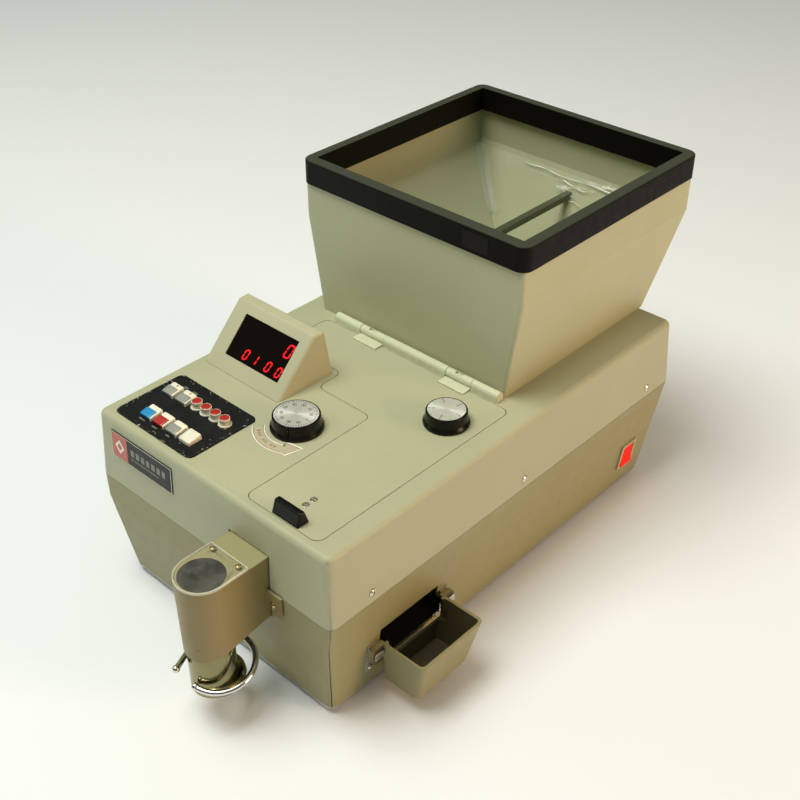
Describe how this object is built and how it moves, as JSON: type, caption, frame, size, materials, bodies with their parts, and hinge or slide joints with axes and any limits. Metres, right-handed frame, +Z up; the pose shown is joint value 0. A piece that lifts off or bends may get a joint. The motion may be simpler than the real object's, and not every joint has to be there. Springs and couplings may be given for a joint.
{
  "type": "coin_counter",
  "caption": "Desktop coin counter with a square hopper, hinged access lid, dial knobs, keypad, digit display, front bag spout with a wire clamp and a hook-on reject tray",
  "frame": {"origin": "middle of the four rubber feet on the table", "axes": "+X the reject tray side (the right as seen from the spout), -Y the front with the bag spout and the keypad, +Z up"},
  "size_m": [0.3923, 0.6768, 0.392],
  "materials": {
    "upper_paint": "satin",
    "lower_paint": "satin",
    "black_plastic": "matte",
    "black_gloss": "gloss",
    "cream_plastic": "satin",
    "window_tint": "gloss",
    "clear_plastic": "gloss",
    "plate_metal": "satin",
    "chrome": "polished",
    "steel": "brushed",
    "dial_metal": "brushed",
    "brass": "satin",
    "rubber": "matte",
    "hopper_paint": "satin",
    "disc_metal": "satin",
    "belt_rubber": "matte",
    "red_switch": "gloss",
    "motor_metal": "satin",
    "board": "satin",
    "bearing_iron": "satin"
  },
  "bodies": {
    "housing": {"lower_housing": "lower_paint", "upper_housing": "upper_paint", "base_plate": "steel", "rubber_feet": "rubber", "housing_screws": "steel", "hopper_body": "hopper_paint", "hopper_rim": "black_plastic", "hopper_baffle": "hopper_paint", "hinge_cover": "steel", "hinge_pin": "steel", "control_panel": "plate_metal", "display_housing": "cream_plastic", "display_window": "window_tint", "nameplate": "plate_metal", "spout_body": "lower_paint", "spout_cover": "clear_plastic", "spout_screws": "brass", "spout_tube": "chrome", "tray_clips": "chrome", "clip_screws": "steel", "reject_chute": "motor_metal", "switch_bezel": "cream_plastic", "power_inlet": "black_plastic", "deck_plate": "steel", "disc_bearing": "bearing_iron", "drive_motor": "motor_metal", "drive_belt": "belt_rubber", "coin_sensor": "black_plastic", "conveyor_frame": "steel", "hopper_belt": "belt_rubber", "control_board": "board", "transformer": "bearing_iron"},
    "lid": {"access_lid": "upper_paint", "lid_screws": "brass", "lid_handle": "black_plastic", "lid_hinges": "steel"},
    "thickness_control": {"thickness_knob": "black_gloss", "thickness_dial": "dial_metal"},
    "gate": {"thickness_gate": "disc_metal"},
    "size_control": {"size_knob": "black_gloss", "size_dial": "dial_metal"},
    "rail": {"size_rail": "disc_metal"},
    "disc": {"feed_disc": "disc_metal", "disc_spindle": "steel"},
    "pulley": {"motor_pulley": "disc_metal"},
    "front_roll": {"front_roller": "steel"},
    "rear_roll": {"rear_roller": "steel"},
    "tray": {"reject_tray": "lower_paint"},
    "clamp": {"bag_clamp": "chrome"},
    "rocker": {"power_rocker": "red_switch"},
    "batch_key": {"batch_key": "cream_plastic"},
    "count_key": {"count_key": "cream_plastic"},
    "start_key": {"start_key": "cream_plastic"},
    "stop_key": {"stop_key": "cream_plastic"},
    "reset_key": {"reset_key": "cream_plastic"},
    "add_key": {"add_key": "cream_plastic"},
    "preset_1": {"preset_button_1": "cream_plastic"},
    "preset_2": {"preset_button_2": "cream_plastic"},
    "preset_3": {"preset_button_3": "cream_plastic"},
    "preset_4": {"preset_button_4": "cream_plastic"}
  },
  "joints": [
    {"name": "lid_hinge", "type": "hinge", "parent": "housing", "child": "lid", "pos_m": [0, 0.0146, 0.2184], "axis": [-1, 0, 0], "range_deg": [0, 70]},
    {"name": "thickness_turn", "type": "hinge", "parent": "lid", "child": "thickness_control", "pos_m": [0.1064, -0.0484, 0.213], "axis": [0, 0, 1], "range_deg": [0, 300]},
    {"name": "gate_lift", "type": "slide", "parent": "lid", "child": "gate", "axis": [0, 0, 1], "range_m": [-0.003, 0]},
    {"name": "size_turn", "type": "hinge", "parent": "housing", "child": "size_control", "pos_m": [0.004, -0.1537, 0.213], "axis": [0, 0, 1], "range_deg": [0, 300]},
    {"name": "rail_shift", "type": "slide", "parent": "housing", "child": "rail", "axis": [1, 0, 0], "range_m": [-0.02, 0]},
    {"name": "disc_spin", "type": "hinge", "parent": "housing", "child": "disc", "pos_m": [0.0625, -0.091, 0.165], "axis": [0, 0, 1], "continuous": true},
    {"name": "motor_spin", "type": "hinge", "parent": "housing", "child": "pulley", "pos_m": [-0.083, -0.091, 0.109], "axis": [0, 0, 1], "continuous": true},
    {"name": "front_roller_spin", "type": "hinge", "parent": "housing", "child": "front_roll", "pos_m": [-0.0083, 0.016, 0.167], "axis": [1, 0, 0], "continuous": true},
    {"name": "rear_roller_spin", "type": "hinge", "parent": "housing", "child": "rear_roll", "pos_m": [-0.0083, 0.234, 0.167], "axis": [1, 0, 0], "continuous": true},
    {"name": "tray_lift", "type": "slide", "parent": "housing", "child": "tray", "axis": [0, 0, 1], "range_m": [0, 0.02]},
    {"name": "clamp_slide", "type": "slide", "parent": "housing", "child": "clamp", "axis": [0, 0, 1], "range_m": [-0.012, 0.01]},
    {"name": "rocker_tilt", "type": "hinge", "parent": "housing", "child": "rocker", "pos_m": [0.15904, 0.215, 0.052], "axis": [0, 1, 0], "range_deg": [0, 9]},
    {"name": "batch_key_press", "type": "slide", "parent": "housing", "child": "batch_key", "axis": [0, 0, -1], "range_m": [0, 0.0025], "stiffness_N_per_m": 400},
    {"name": "count_key_press", "type": "slide", "parent": "housing", "child": "count_key", "axis": [0, 0, -1], "range_m": [0, 0.0025], "stiffness_N_per_m": 400},
    {"name": "start_key_press", "type": "slide", "parent": "housing", "child": "start_key", "axis": [0, 0, -1], "range_m": [0, 0.0025], "stiffness_N_per_m": 400},
    {"name": "stop_key_press", "type": "slide", "parent": "housing", "child": "stop_key", "axis": [0, 0, -1], "range_m": [0, 0.0025], "stiffness_N_per_m": 400},
    {"name": "reset_key_press", "type": "slide", "parent": "housing", "child": "reset_key", "axis": [0, 0, -1], "range_m": [0, 0.0025], "stiffness_N_per_m": 400},
    {"name": "add_key_press", "type": "slide", "parent": "housing", "child": "add_key", "axis": [0, 0, -1], "range_m": [0, 0.0025], "stiffness_N_per_m": 400},
    {"name": "preset_1_press", "type": "slide", "parent": "housing", "child": "preset_1", "axis": [0, 0, -1], "range_m": [0, 0.0025], "stiffness_N_per_m": 400},
    {"name": "preset_2_press", "type": "slide", "parent": "housing", "child": "preset_2", "axis": [0, 0, -1], "range_m": [0, 0.0025], "stiffness_N_per_m": 400},
    {"name": "preset_3_press", "type": "slide", "parent": "housing", "child": "preset_3", "axis": [0, 0, -1], "range_m": [0, 0.0025], "stiffness_N_per_m": 400},
    {"name": "preset_4_press", "type": "slide", "parent": "housing", "child": "preset_4", "axis": [0, 0, -1], "range_m": [0, 0.0025], "stiffness_N_per_m": 400}
  ],
  "couplings": [
    {"joint": "gate_lift", "follows": "thickness_turn", "m_per_rad": -0.00057296},
    {"joint": "rail_shift", "follows": "size_turn", "m_per_rad": -0.0038197},
    {"joint": "motor_spin", "follows": "disc_spin", "ratio": 2.5},
    {"joint": "rear_roller_spin", "follows": "front_roller_spin", "ratio": 1}
  ]
}
